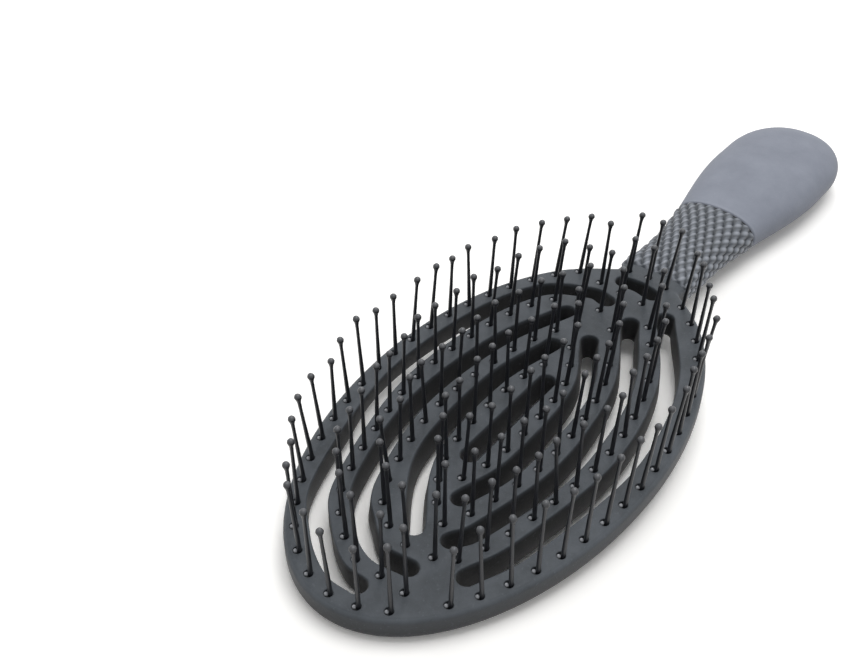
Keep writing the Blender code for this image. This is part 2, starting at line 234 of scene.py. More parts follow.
# A painted highlight on each ball's upper part, starting a little above its middle
pin_ball_turns = (-42, -20, 2, 24, 45, 66)
pin_ball_highlight = 0.28
pin_ball_highlight_start = 0.1
pin_sides = 10
pin_shift = (-0.00036, 0.00030)
pin_top_slack = 0.00002
strip_top_depth = 0.0029
strip_bottom_depth = 0.0050
strip_half_width = 0.00092
strip_end_length = 0.0006
strip_end_steps = 6

# Beads at the pins' feet
bead_radius = 0.00046
bead_shift = (0.00022, -0.00034, -0.00024)
bead_turns = (-60, -25, 5, 35, 65)

# Leans per metre of height, along and across the head: at its middle, by the twist, and by chance
middle_lean = (-0.013, 0.017)
twist_lean = (-0.033, -0.060)
twist_reach = (0.060, 0.035)
scatter_lean = 0.028

# The rim pins' leans, in order towards the tip
rim_leans = {
    "pins_rim_near_01": [(-0.01, 0.09), (-0.02, 0.09), (-0.04, 0.06), (-0.03, 0.02), (0.00, 0.05),
                         (0.03, -0.02)],
    "pins_rim_near_02": [(0.01, 0.04), (-0.08, 0.03), (-0.06, 0.04), (0.04, 0.02), (0.03, 0.01),
                         (-0.05, -0.11)],
    "pins_rim_near_03": [(0.02, -0.06), (0.03, 0.03), (0.03, -0.08), (0.05, -0.09)],
    "pins_rim_far_01": [(-0.08, 0.01), (-0.09, -0.03), (-0.05, -0.06), (-0.04, -0.08), (0.04, 0.06)],
    "pins_rim_far_02": [(-0.03, 0.05), (-0.05, 0.06), (-0.11, 0.02), (-0.10, 0.02), (-0.05, 0.02)],
    "pins_rim_far_04": [(0.05, 0.10), (-0.03, 0.01), (0.04, 0.05)],
}

# Camera
camera_place = (0.209633, 0.10054, 0.201386)
camera_forward = (-0.5988, -0.4661, -0.6513)
camera_right = (-0.6092, 0.7930, -0.0074)
camera_lens = 51.12
camera_film_width = 36.0
camera_reach = (0.01, 20.0)

# Lamps: place, aim, size and power
lamps = {
    "overhead": ((-0.14, 0.06, 1.00), (-0.02, 0, 0), 0.70, 4.5),
    "behind": ((-0.62, -0.36, 0.70), (-0.02, 0, 0), 0.30, 1.2),
    "front": ((0.90, 0.75, 0.75), (0, 0, 0), 0.60, 0.8),
}

# Floor and world, in the colours and strengths that light the object, and those that the camera sees
grip_contact_x = -0.0930
contact_distance = 0.200
floor_half_width = 3.0
floor_gap = 0.0001
floor_lighting = ((0.40, 0.39, 0.38, 1.0), (0.44, 0.43, 0.42, 1.0))
floor_seen_near = ((1.22, 1.21, 1.19, 1.0), (1.26, 1.25, 1.23, 1.0))
floor_seen_far = (3.2, 3.2, 3.2, 1.0)
floor_near_reach = 0.25
floor_far_reach = 1.0
world_lighting = 0.56
world_seen = 1.0


# Materials

class Level:
    """A number that varies over the surface. Arithmetic on it adds Math nodes."""

    def __init__(self, nodes, socket):
        self.nodes = nodes
        self.socket = socket

    def __add__(self, other):
        return self.nodes.maths("ADD", self, other)

    def __radd__(self, other):
        return self.nodes.maths("ADD", other, self)

    def __sub__(self, other):
        return self.nodes.maths("SUBTRACT", self, other)

    def __rsub__(self, other):
        return self.nodes.maths("SUBTRACT", other, self)

    def __mul__(self, other):
        return self.nodes.maths("MULTIPLY", self, other)

    def __rmul__(self, other):
        return self.nodes.maths("MULTIPLY", other, self)


class Nodes:
    """A node tree, and the ways to add to it."""

    def __init__(self, tree):
        self.tree = tree

    def node(self, kind, settings=None, inputs=None, output=0):
        """Adds a node with its settings, then the values or links of its sockets."""
        node = self.tree.nodes.new(kind)
        for key, value in (settings or {}).items():
            setattr(node, key, value)
        for key, value in (inputs or {}).items():
            self.feed(node.inputs[key], value)
        return Level(self, node.outputs[output])

    def feed(self, socket, value):
        if isinstance(value, Level):
            self.tree.links.new(value.socket, socket)
        else:
            socket.default_value = value

    def maths(self, operation, first, second):
        return self.node("ShaderNodeMath", {"operation": operation}, {0: first, 1: second})

    def between(self, level, low, high, at_low=0.0, at_high=1.0):
        """From one value where the level is at or below low to the other where it is at or above high."""
        inputs = {"Value": level, "From Min": low, "From Max": high, "To Min": at_low, "To Max": at_high}
        return self.node("ShaderNodeMapRange", {"clamp": True}, inputs, "Result")

    def seen(self):
        """1 for what the camera sees, straight or in gloss or glass, and 0 for what only gives light."""
        kinds = ("Camera", "Glossy", "Transmission")
        rays = [self.node("ShaderNodeLightPath", output=f"Is {kind} Ray") for kind in kinds]
        return rays[0] + rays[1] + rays[2]


class Finish(Nodes):
    """A material with one Principled shader, and the patterns that vary it over the surface."""

    def __init__(self, name, fixed):
        self.material = bpy.data.materials.new(name)
        self.material.use_nodes = True
        super().__init__(self.material.node_tree)
        self.shader = self.tree.nodes["Principled BSDF"]
        for socket, value in fixed.items():
            self.shader.inputs[socket].default_value = value

    def place(self):
        return self.node("ShaderNodeTexCoord", output="Object")

    def noise(self, size, detail=3.0, roughness=0.55, stretch=None):
        """A cloudy pattern, near 0.5 on average, with lumps of about the given size in metres."""
        vector = self.place()
        if stretch:
            vector = self.node("ShaderNodeMapping", {}, {"Vector": vector, "Scale": stretch})
        inputs = {"Vector": vector, "Scale": 1 / size, "Detail": detail, "Roughness": roughness}
        return self.node("ShaderNodeTexNoise", {}, inputs, "Fac")

    def painted_light(self):
        """The painted light that a Surface gives each point: above 0 a painted highlight, below 0 painted
        shade.
        """
        return self.node("ShaderNodeAttribute", {"attribute_name": "painted_light"}, {}, "Fac")

    def mix(self, share, first, second):
        """From the first colour to the second as the share goes from 0 to 1."""
        inputs = {0: share, 6: first, 7: second}
        return self.node("ShaderNodeMix", {"data_type": "RGBA"}, inputs, 2)

    def relief(self, height, depth, strength):
        """A surface normal from a height between 0 and 1 that stands for a depth in metres."""
        inputs = {"Height": height, "Distance": depth, "Strength": strength}
        return self.node("ShaderNodeBump", {}, inputs, "Normal")

    def finish(self, colour, roughness, normal):
        self.feed(self.shader.inputs["Base Color"], colour)
        self.feed(self.shader.inputs["Roughness"], roughness)
        self.feed(self.shader.inputs["Normal"], normal)
        return self.material


def shade(red, green, blue):
    """A display colour, each part from 0 to 255, as the linear colour that a shader takes."""
    parts = np.array([red, green, blue]) / 255
    linear = np.where(parts > 0.04045, ((parts + 0.055) / 1.055) ** 2.4, parts / 12.92)
    return (*linear, 1.0)


def soft_touch(name, dark, base, light, roughness, highlight_share=0.55, gloss=0.38):
    """Rubbery coated plastic: cloudy between two tones, with a fine dust of lighter specks.

    Where the painted light is above 0 a painted highlight goes towards the light tone, and below 0 painted
    shade goes towards near black.
    """
    finish = Finish(name, {"Specular IOR Level": gloss, "Sheen Weight": 0.06, "Sheen Roughness": 0.45})
    cloud = finish.noise(size=0.009, detail=5.0, roughness=0.62)
    grain = finish.noise(size=0.00042, detail=2.0)
    specks = finish.between(finish.noise(size=0.00075, detail=1.0), 0.66, 0.74)
    painted_light = finish.painted_light()
    colour = finish.mix(finish.between(cloud, 0.3, 0.7), dark, base)
    # Painted highlight towards the light tone, then painted shade towards near black
    colour = finish.mix(painted_light * highlight_share, colour, light)
    colour = finish.mix(painted_light * -1.0, colour, shade(25, 25, 26))
    colour = finish.mix(specks * 0.16, colour, light)
    uneven = roughness + (cloud - 0.5) * 0.16 + (grain - 0.5) * 0.10
    return finish.finish(colour, uneven, finish.relief(grain, depth=0.00005, strength=0.7))


def glossy_nylon(name):
    """Black moulded nylon with slightly uneven gloss, marks drawn out along the pin, and a painted highlight
    that makes the ball tops and the beads pale.
    """
    finish = Finish(name, {"Specular IOR Level": 0.42, "Coat Weight": 0.06, "Coat Roughness": 0.18})
    cloud = finish.noise(size=0.0031)
    drawn = finish.noise(size=0.0011, detail=2.0, roughness=0.5, stretch=(1.0, 1.0, 0.2))
    painted_light = finish.painted_light()
    colour = finish.mix(cloud, shade(24, 25, 29), shade(38, 40, 45))
    # Painted highlight on the ball tops and the beads
    colour = finish.mix(painted_light * 0.55, colour, shade(196, 199, 205))
    uneven = 0.36 + (cloud - 0.5) * 0.12 + (drawn - 0.5) * 0.08 - painted_light * 0.20
    return finish.finish(colour, uneven, finish.relief(drawn, depth=0.000002, strength=0.2))


def pale_floor(name):
    """A matt sheet, seen as white that grows brighter far out, but lighting the object as a pale grey."""
    finish = Finish(name, {"Specular IOR Level": 0.1})
    cloud = finish.noise(size=0.4, detail=2.0)
    away = finish.node("ShaderNodeVectorMath", {"operation": 'LENGTH'}, {0: finish.place()}, "Value")
    white = finish.mix(cloud, *floor_seen_near)
    white = finish.mix(finish.between(away, floor_near_reach, floor_far_reach), white, floor_seen_far)
    colour = finish.mix(finish.seen(), finish.mix(cloud, *floor_lighting), white)
    roughness = finish.noise(size=0.02) * 0.1 + 0.75
    relief = finish.relief(finish.noise(size=0.001), depth=0.00001, strength=0.1)
    return finish.finish(colour, roughness, relief)


# Plane curves

def smooth_step(value):
    """0 up to 0, 1 from 1 on, and between them three times the square less twice the cube."""
    value = np.clip(value, 0.0, 1.0)
    return value * value * (3 - 2 * value)


def spline(points, steps):
    """A smooth curve through the points: on each stretch the cubic that keeps each point's mean slope."""
    points = np.asarray(points, float)
    padded = np.vstack([2 * points[0] - points[1], points, 2 * points[-1] - points[-2]])
    before, start, end, after = (padded[i:len(padded) - 3 + i, None, :] for i in range(4))
    t = (np.arange(steps) / steps)[None, :, None]
    curve = 0.5 * (2 * start + (end - before) * t + (2 * before - 5 * start + 4 * end - after) * t ** 2
                   + (3 * start - before - 3 * end + after) * t ** 3)
    return np.vstack([curve.reshape(-1, 2), points[-1]])


def normals_of(curve):
    """The unit normals on a curve's left: each point's mean direction, turned by a quarter."""
    along = np.gradient(curve, axis=0)
    along /= np.linalg.norm(along, axis=1)[:, None]
    return np.stack([-along[:, 1], along[:, 0]], axis=1)


def band(curve, half_width, end_steps):
    """The closed outline at a half width from an open curve, with half circles round its ends."""
    left = normals_of(curve)
    along = np.stack([left[:, 1], -left[:, 0]], axis=1)
    turn = np.linspace(-math.pi / 2, math.pi / 2, end_steps + 1)[1:-1, None]
    far_end = curve[-1] + half_width * (along[-1] * np.cos(turn) + left[-1] * np.sin(turn))
    near_end = curve[0] - half_width * (along[0] * np.cos(turn) + left[0] * np.sin(turn))
    return np.vstack([curve - left * half_width, far_end, (curve + left * half_width)[::-1], near_end])


def circle(sides):
    """Points at even turns on a circle of radius 1."""
    turns = np.arange(sides) * 2 * math.pi / sides
    return np.stack([np.cos(turns), np.sin(turns)], axis=1)


def distance_to(outline, places):
    """The least distance from each place to the closed outline."""
    start = outline[None, :, :]
    run = (np.roll(outline, -1, axis=0) - outline)[None, :, :]
    share = np.sum((places[:, None, :] - start) * run, axis=2) / np.sum(run * run, axis=2)
    nearest = start + np.clip(share, 0, 1)[:, :, None] * run
    return np.linalg.norm(places[:, None, :] - nearest, axis=2).min(axis=1)


# Meshes

class Surface:
    """Points, faces and a level of painted light for each point, gathered into one mesh."""

    def __init__(self):
        self.points = []
        self.faces = []
        self.painted_light = []
        self.count = 0

    def ring(self, points, painted_light=0.0):
        """Adds points and gives back their numbers."""
        points = np.asarray(points, float)
        self.points.append(points)
        self.painted_light.append(np.broadcast_to(painted_light, len(points)))
        self.count += len(points)
        return np.arange(self.count - len(points), self.count)

    def level(self, outline, depth, painted_light=0.0):
        """Adds places on the head at a depth below its face, or at a depth for each of them."""
        depth = np.broadcast_to(depth, len(outline))
        return self.ring(np.stack([outline[:, 0], outline[:, 1], -depth], axis=1), painted_light)

    def walls(self, rings):
        """Four-sided faces between each closed ring and the next, which has as many points."""
        for first, second in zip(rings, rings[1:]):
            corners = [first, np.roll(first, -1), np.roll(second, -1), second]
            self.faces += np.stack(corners, axis=1).tolist()

    def cone(self, ring, tip, painted_light=0.0):
        """Triangles from a closed ring to one new point."""
        tip = self.ring([tip], painted_light)[0]
        self.faces += np.stack([ring, np.roll(ring, -1), np.full(len(ring), tip)], axis=1).tolist()

    def fill(self, outer, inner, loose=()):
        """Triangles inside one loop and outside the others, seen from above, through the loose points too."""
        loops = [outer, *inner]
        order = np.concatenate([*loops, np.asarray(loose, int)])
        flat = np.vstack(self.points)[order, :2]
        edges = []
        start = 0
        for loop in loops:
            here = np.arange(start, start + len(loop))
            edges += np.stack([here, np.roll(here, -1)], axis=1).tolist()
            start += len(loop)
        flat = flat / np.abs(flat).max()
        found = delaunay_2d_cdt([Vector(p) for p in flat], edges, [], 0, 0.0, True)
        places = [origins[0] for origins in found[3]]
        triangles = [tuple(places[i] for i in face) for face in found[2]]
        inside = between_fences(triangles, {frozenset(edge) for edge in edges})
        self.faces += [[int(order[i]) for i in triangles[number]] for number in inside]

    def build(self, name, material, sharp=None):
        """Puts the points in the frame's place, with every face turned outwards."""
        points = np.vstack(self.points) + np.array([middle_x, 0.0, face_height])
        mesh = bpy.data.meshes.new(name)
        mesh.from_pydata(points.tolist(), [], self.faces)
        attribute = mesh.attributes.new("painted_light", 'FLOAT', 'POINT')
        attribute.data.foreach_set("value", np.concatenate(self.painted_light).astype(np.float32))
        mesh.materials.append(material)
        piece = bpy.data.objects.new(name, mesh)
        bpy.context.scene.collection.objects.link(piece)
        bpy.context.view_layer.objects.active = piece
        piece.select_set(True)
        bpy.ops.object.mode_set(mode='EDIT')
        bpy.ops.mesh.select_all(action='SELECT')
        bpy.ops.mesh.normals_make_consistent(inside=False)
        bpy.ops.object.mode_set(mode='OBJECT')
        piece.select_set(False)
        mesh.shade_smooth()
        if sharp:
            mesh.set_sharp_from_angle(angle=math.radians(sharp))
        return piece


def between_fences(triangles, fences):
    """The numbers of the triangles reached from outside by crossing the fences an odd number of times."""
    beside = {}
    for number, triangle in enumerate(triangles):
        for edge in zip(triangle, triangle[1:] + triangle[:1]):
            beside.setdefault(frozenset(edge), []).append(number)
    waiting = [(owners[0], edge in fences) for edge, owners in beside.items() if len(owners) == 1]
    inside = {}
    while waiting:
        number, state = waiting.pop()
        if number in inside:
            continue
        inside[number] = state
        triangle = triangles[number]
        for edge in map(frozenset, zip(triangle, triangle[1:] + triangle[:1])):
            waiting += [(other, state != (edge in fences)) for other in beside[edge] if other != number]
    return sorted(number for number, state in inside.items() if state)


# Head

def head_outline():
    """The head's outline, from the -Y side of the neck round the tip to the +Y side and back.

    On the neck side the half width is the fourth root of the sum of the fourth powers of an oval's half
    width and the neck's, and towards the tip it is an oval.
    """
    power = outline_power
    angle = np.linspace(math.pi / 2, 0, outline_steps)
    oval = head_half_width * np.cos(angle)
    half_width = (oval ** power + neck_half_width ** power) ** (1 / power)
    side = np.stack([-head_neck_length * np.sin(angle), -half_width], 1)
    widest = (head_half_width ** power + neck_half_width ** power) ** (1 / power)
    turn = np.linspace(-math.pi / 2, math.pi / 2, outline_steps * 2)[1:-1]
    tip = np.stack([head_tip_length * np.cos(turn), widest * np.sin(turn)], 1)
    collar_x = np.linspace(-head_end_length, -head_neck_length, collar_steps)[:-1]
    collar = np.stack([collar_x, np.full(len(collar_x), -neck_half_width)], 1)
    mirror = np.array([1, -1])
    across = np.linspace(neck_half_width, -neck_half_width, neck_end_steps)[1:-1]
    end = np.stack([np.full(len(across), -head_end_length), across], axis=1)
    return np.vstack([collar, side, tip, side[::-1] * mirror, collar[::-1] * mirror, end])


def at_neck_end(outline):
    """Which points of the outline are on its flat end at the neck."""
    return outline[:, 0] < -head_end_length + tiny_length


def sides_of(outline):
    """The outline with its flat end taken off and the neck's sides carried on past it."""
    past = np.array([[past_neck_x, -neck_half_width], [past_neck_x, neck_half_width]])
    return np.vstack([past[:1], outline[~at_neck_end(outline)], past[1:]])


def inset(outline, distance):
    """The head's outline drawn in by a distance at each point, its flat end at the neck kept flat.

    A point moves along the sum of its two edges' normals, scaled so that both edges move by the distance.
    """
    edge_in = outline - np.roll(outline, 1, axis=0)
    edge_out = np.roll(outline, -1, axis=0) - outline
    normal_in = np.stack([-edge_in[:, 1], edge_in[:, 0]], 1) / np.linalg.norm(edge_in, axis=1)[:, None]
    normal_out = np.stack([-edge_out[:, 1], edge_out[:, 0]], 1) / np.linalg.norm(edge_out, axis=1)[:, None]
    bisector = normal_in + normal_out
    bisector /= np.sum(bisector * normal_in, axis=1)[:, None]
    end = at_neck_end(outline)
    bisector[end] = outline[end] * np.array([0.0, -1 / neck_half_width])
    return outline + bisector * np.broadcast_to(distance, len(outline))[:, None]


def face_round_at(x):
    """The radius of the face's outer edge, which grows where the head narrows into the neck."""
    return face_round + (flare_round - face_round) * smooth_step((flare_start - x) / flare_run)


def collar_share(x):
    """How far the head's section has turned into the neck's rounded one, from 0 to 1 along the collar."""
    return smooth_step((collar_start - x) / collar_run)


def fall_at(distance, x, radius):
    """How far the face has fallen, or the back has risen, at a distance in from the wall.

    The head has a quarter circle at its edge, and the neck the side of a squared ellipse. The collar goes
    from the first to the second.
    """
    left = np.clip(radius - distance, 0, None)
    quarter = radius - np.sqrt(np.clip(radius ** 2 - left ** 2, 0, None))
    out = np.clip(1 - distance / neck_half_width, 0, 1)
    crown = head_depth / 2 * (1 - (1 - out ** neck_squareness) ** (1 / neck_squareness))
    share = collar_share(x)
    return quarter * (1 - share) + crown * share


def edge_ring(outline, degrees, radius):
    """The rounded edge's ring at a turn from the wall, 0, to the flat, 90 degrees, and how far it falls.

    It lies on fall_at's two curves: in and down by the radius times one less the turn's cosine and sine,
    and for the neck by the same of a squared ellipse, whose turn stops short of the flat.
    """
    turn = math.radians(degrees)
    share = collar_share(outline[:, 0])
    neck_turn = turn * collar_turn_share
    squared_in = neck_half_width * (1 - math.cos(neck_turn) ** (2 / neck_squareness))
    squared_fall = head_depth / 2 * (1 - math.sin(neck_turn) ** (2 / neck_squareness))
    away = radius * (1 - math.cos(turn)) * (1 - share) + squared_in * share
    fall = radius * (1 - math.sin(turn)) * (1 - share) + squared_fall * share
    return inset(outline, away), fall


def head_edge(skin, outline):
    """The rings from the face's rounding down the side wall and round to the back: the first and the last.

    Across the flat end, the first and the last follow fall_at, so that they meet the face and the back.
    """
    end = at_neck_end(outline)
    face_radius = face_round_at(outline[:, 0])
    back_radius = np.full(len(outline), back_round)
    rings = []
    for degrees in face_edge_turns:
        points, fall = edge_ring(outline, degrees, face_radius)
        if degrees == face_edge_turns[0]:
            fall[end] = fall_at(neck_half_width - np.abs(points[end, 1]), points[end, 0], face_radius[end])
        # Painted highlight along the face's rounded edge, and painted shade down the side wall
        edge = face_edge_highlight * math.sin(math.radians(2 * degrees))
        wall = side_wall_shade * math.cos(math.radians(degrees)) ** 4
        rings.append(skin.level(points, fall, edge + wall))
    for degrees in back_edge_turns:
        points, fall = edge_ring(outline, degrees, back_radius)
        if degrees == back_edge_turns[-1]:
            fall[end] = fall_at(neck_half_width - np.abs(points[end, 1]), points[end, 0], back_radius[end])
        # Painted shade towards the back edge
        painted_light = back_edge_shade * math.cos(math.radians(degrees))
        rings.append(skin.level(points, head_depth - fall, painted_light))
    skin.walls(rings)
    return rings[0], rings[-1]


def slot_centreline(name, steps):
    """A slot's centreline: the spline through its laid-out points, stretched to the head."""
    x, y = spline(slot_centres[name], steps).T
    x = x * np.where(x > 0, head_tip_length / layout_tip_length, head_neck_length / layout_neck_length)
    return np.stack([x, y * (neck_half_width if name == "neck" else head_half_width)], axis=1)


def slot_ring(name, spread, depth=0.0):
    """A slot's outline, wider than the slot by a spread on each side.

    The outer near slot opens towards the rim as it goes down: a point there moves out, the way it lies
    from the middle of the head's oval, by the opening times smooth steps of the depth, of how far out in
    the oval it is, of its distance from the head's axis, and of how near it is to the middle of the
    stretch that opens.
    """
    steps = slot_straight_steps if len(slot_centres[name]) == 2 else slot_curve_steps
    ring = band(slot_centreline(name, steps), slot_half_width + spread, slot_end_steps)
    if name != "outer_near":
        return ring
    oval = ring / np.array([head_tip_length, head_half_width])
    reach = np.linalg.norm(oval, axis=1)
    outer = smooth_step((reach - rim_oval_share) / rim_oval_run)
    outer = outer * smooth_step((-ring[:, 1] - rim_side_distance) / rim_side_run)
    from_middle = np.abs(ring[:, 0] - rim_stretch_middle)
    outer = outer * smooth_step((rim_stretch_half_length - from_middle) / rim_stretch_run)
    opened = rim_opening * smooth_step(depth / head_depth)
    return ring + oval / reach[:, None] * (opened * outer)[:, None]


def slot_walls(skin, name):
    """A slot's rings from the face to the back: the first and the last.

    Its edge in the face is a quarter circle, its wall closes in by the draft, and its edge in the back is a
    quarter of an ellipse. A narrow flat margin goes round it on both sides.
    """
    draft, back = slot_backs[name]
    rings = [skin.level(slot_ring(name, slot_round + flat_margin), 0.0)]
    for turn in map(math.radians, slot_edge_turns):
        ring = slot_ring(name, slot_round * (1 - math.sin(turn)))
        # Painted highlight along the slot's rounded edge
        painted_light = slot_edge_highlight * math.sin(turn * 2)
        rings.append(skin.level(ring, slot_round * (1 - math.cos(turn)), painted_light))
    ring = slot_ring(name, -draft * slot_draft_start_share)
    # Painted shade on the slot's walls
    rings.append(skin.level(ring, slot_draft_start_depth, slot_wall_shade))
    for turn in map(math.radians, slot_back_turns):
        depth = head_depth - back + back * math.cos(turn)
        ring = slot_ring(name, slot_back_spread * (1 - math.sin(turn)) - draft, depth)
        # Painted shade fading out round the slot's back edge
        rings.append(skin.level(ring, depth, slot_wall_shade * math.sin(turn)))
    ring = slot_ring(name, slot_back_spread - draft + flat_margin, head_depth)
    rings.append(skin.level(ring, head_depth))
    skin.walls(rings)
    return rings[0], rings[-1]


def hole_walls(skin, place, sides):
    """A pin hole's rings from its rounded mouth to its bottom, closed by a low cone: the first of them."""
    rings = []
    for outwards, downwards in hole_mouth:
        points = place + circle(hole_sides) * (hole_radius + hole_round * outwards)
        surface = fall_at(distance_to(sides, points), points[:, 0], face_round_at(points[:, 0]))
        # Painted shade in the hole, darker deeper in and deepest at the bottom
        rings.append(skin.level(points, surface + hole_round * downwards, hole_mouth_shade * downwards))
    bottom = place + circle(hole_sides) * hole_radius * hole_bottom_share
    rings.append(skin.level(bottom, hole_depth, hole_bottom_shade))
    skin.walls(rings)
    skin.cone(rings[-1], (*place, -hole_depth - hole_cone), hole_bottom_shade)
    return rings[0]


def loose_places(outline, sides, holes):
    """Places that hold the face's rounding and the collar's crown between the rings, clear of openings.

    They are the outline drawn in by several shares of the rounding, and an even grid inside that.
    """
    open_sides = outline[~at_neck_end(outline)]
    radius = face_round_at(open_sides[:, 0])
    rings = [inset(open_sides, radius * share) for share in loose_ring_shares]
    x, y = (np.arange(first, last, loose_spacing) for first, last in zip(loose_first, loose_last))
    grid = np.stack(np.meshgrid(x, y), axis=-1).reshape(-1, 2)
    half = open_sides[len(open_sides) // 2:][::-1]
    grid = grid[np.abs(grid[:, 1]) < np.interp(grid[:, 0], half[:, 0], half[:, 1])]
    grid = grid[distance_to(sides, grid) > face_round_at(grid[:, 0]) * loose_edge_share]
    loose = np.vstack([*rings, grid])
    loose = loose[loose[:, 0] > -head_end_length + loose_end_margin]
    from_hole = np.linalg.norm(loose[:, None, :] - holes[None, :, :], axis=2).min(axis=1)
    loose = loose[from_hole > hole_radius + hole_round * hole_mouth[0][0] + loose_hole_margin]
    for name in slot_centres:
        centre = slot_centreline(name, slot_test_steps)
        from_slot = np.linalg.norm(loose[:, None, :] - centre[None, :, :], axis=2).min(axis=1)
        loose = loose[from_slot > slot_half_width + slot_round + loose_slot_margin]
    return loose


def make_head(material, holes):
    """The head with its slots, its pin holes and its rounded edges, as one closed skin.

    The face and the back are triangles between the edge's rings and the openings', through loose points
    that fall as fall_at says. The back needs loose points only on its collar, because it is flat elsewhere.
    """
    skin = Surface()
    outline = head_outline()
    sides = sides_of(outline)
    face_ring, back_ring = head_edge(skin, outline)
    slots = [slot_walls(skin, name) for name in slot_centres]
    mouths = [hole_walls(skin, place, sides) for place in holes]

    loose = loose_places(outline, sides, holes)
    inwards = distance_to(sides, loose)
    collar = [-head_end_length, collar_start]
    margin = np.interp(loose[:, 0], collar, [loose_collar_margin, loose_face_margin])
    on_face = inwards > margin
    x = loose[on_face, 0]
    face_loose = skin.level(loose[on_face], fall_at(inwards[on_face], x, face_round_at(x)))
    skin.fill(face_ring, [face_opening for face_opening, back_opening in slots] + mouths, face_loose)
    on_back = (loose[:, 0] < loose_back_start) & (inwards > back_round + loose_back_margin)
    rise = fall_at(inwards[on_back], loose[on_back, 0], back_round)
    back_loose = skin.level(loose[on_back], head_depth - rise)
    skin.fill(back_ring, [back_opening for face_opening, back_opening in slots], back_loose)
    return skin.build("head_moulding", material, sharp=50)


# Handle

def cap_share(length):
    """How far a length has come into the grip's rounded end, from 0 to 1."""
    return np.clip((length - (handle_end_length - handle_cap_length)) / handle_cap_length, 0, 1)


def handle_section(length):
    """The handle's half width, half thickness, axis depth and squareness at lengths from the head's middle.

    Width and thickness swell in a smooth step from the neck to the grip, and the axis falls evenly. Over
    the neck's start the thickness, axis and squareness go from the head's own. In the rounded end the
    width and the thickness shrink by the square root of one less a power of the way into it.
    """
    swell = smooth_step((length - swell_start_length) / (swell_end_length - swell_start_length))
    half_width = neck_half_width + (handle_half_width - neck_half_width) * swell
    half_thickness = neck_half_thickness + (handle_half_thickness - neck_half_thickness) * swell
    fall = (handle_axis_depth - neck_axis_depth) / (handle_end_length - head_end_length)
    axis = neck_axis_depth + fall * (length - head_end_length)
    start = smooth_step((length - head_end_length) / neck_start_run)
    half_thickness = head_depth / 2 + (half_thickness - head_depth / 2) * start
    axis = head_depth / 2 + (axis - head_depth / 2) * start
    power = neck_squareness + (handle_squareness - neck_squareness) * start
    half_width = half_width * np.sqrt(1 - cap_share(length) ** cap_width_power)
    half_thickness = half_thickness * np.sqrt(1 - cap_share(length) ** cap_thickness_power)
    return half_width, half_thickness, axis, power


def even_turns(sides):
    """Angles that part a neck section's outline into equal lengths."""
    turn = np.linspace(0, 2 * math.pi, turn_table_size)
    outline = np.stack([neck_half_width * np.cos(turn), neck_half_thickness * np.sin(turn)], axis=1)
    run = np.concatenate([[0], np.cumsum(np.linalg.norm(np.diff(outline, axis=0), axis=1))])
    return np.interp(np.arange(sides) / sides * run[-1], run, turn)


def handle_grid(lengths, turns, proud):
    """Points round and along the handle, moved out along the section's own normal by a proud height.

    The section is a squared ellipse: the powers of its width and height, as shares of the half ones, add up
    to 1.
    """
    half_width, half_thickness, axis, power = (value[:, None] for value in handle_section(lengths))
    cosine, sine = np.cos(turns)[None, :], np.sin(turns)[None, :]
    reach = (np.abs(cosine) ** power + np.abs(sine) ** power) ** (-1 / power)
    across = cosine * reach * half_width
    up = sine * reach * half_thickness
    slope_across = np.abs(cosine * reach) ** (power - 1) * np.sign(cosine)
    slope_across = slope_across / np.maximum(half_width, tiny_length)
    slope_up = np.abs(sine * reach) ** (power - 1) * np.sign(sine)
    slope_up = slope_up / np.maximum(half_thickness, tiny_length)
    size = np.sqrt(slope_across ** 2 + slope_up ** 2)
    across = across + proud * slope_across / size
    up = up + proud * slope_up / size
    along = np.broadcast_to(-lengths[:, None], across.shape)
    return np.stack([along, across, up - axis], axis=2)


def bump(across, along):
    """A rounded bump in a cell one across and one along, from 0 at its edge to 1 at its middle.

    It is a power of one less the squares of both distances from the middle, as shares of its half sizes.
    """
    across = (across - np.round(across)) / bump_half_width_share
    along = (along - np.round(along)) / bump_half_length_share
    return np.clip(1 - across ** 2 - along ** 2, 0, 1) ** bump_fullness


def bumps(across, along):
    """Bumps in rings, every second ring turned by half a bump: the higher of two sets that interlock."""
    return np.maximum(bump(across, along), bump(across + 0.5, along + 0.5))


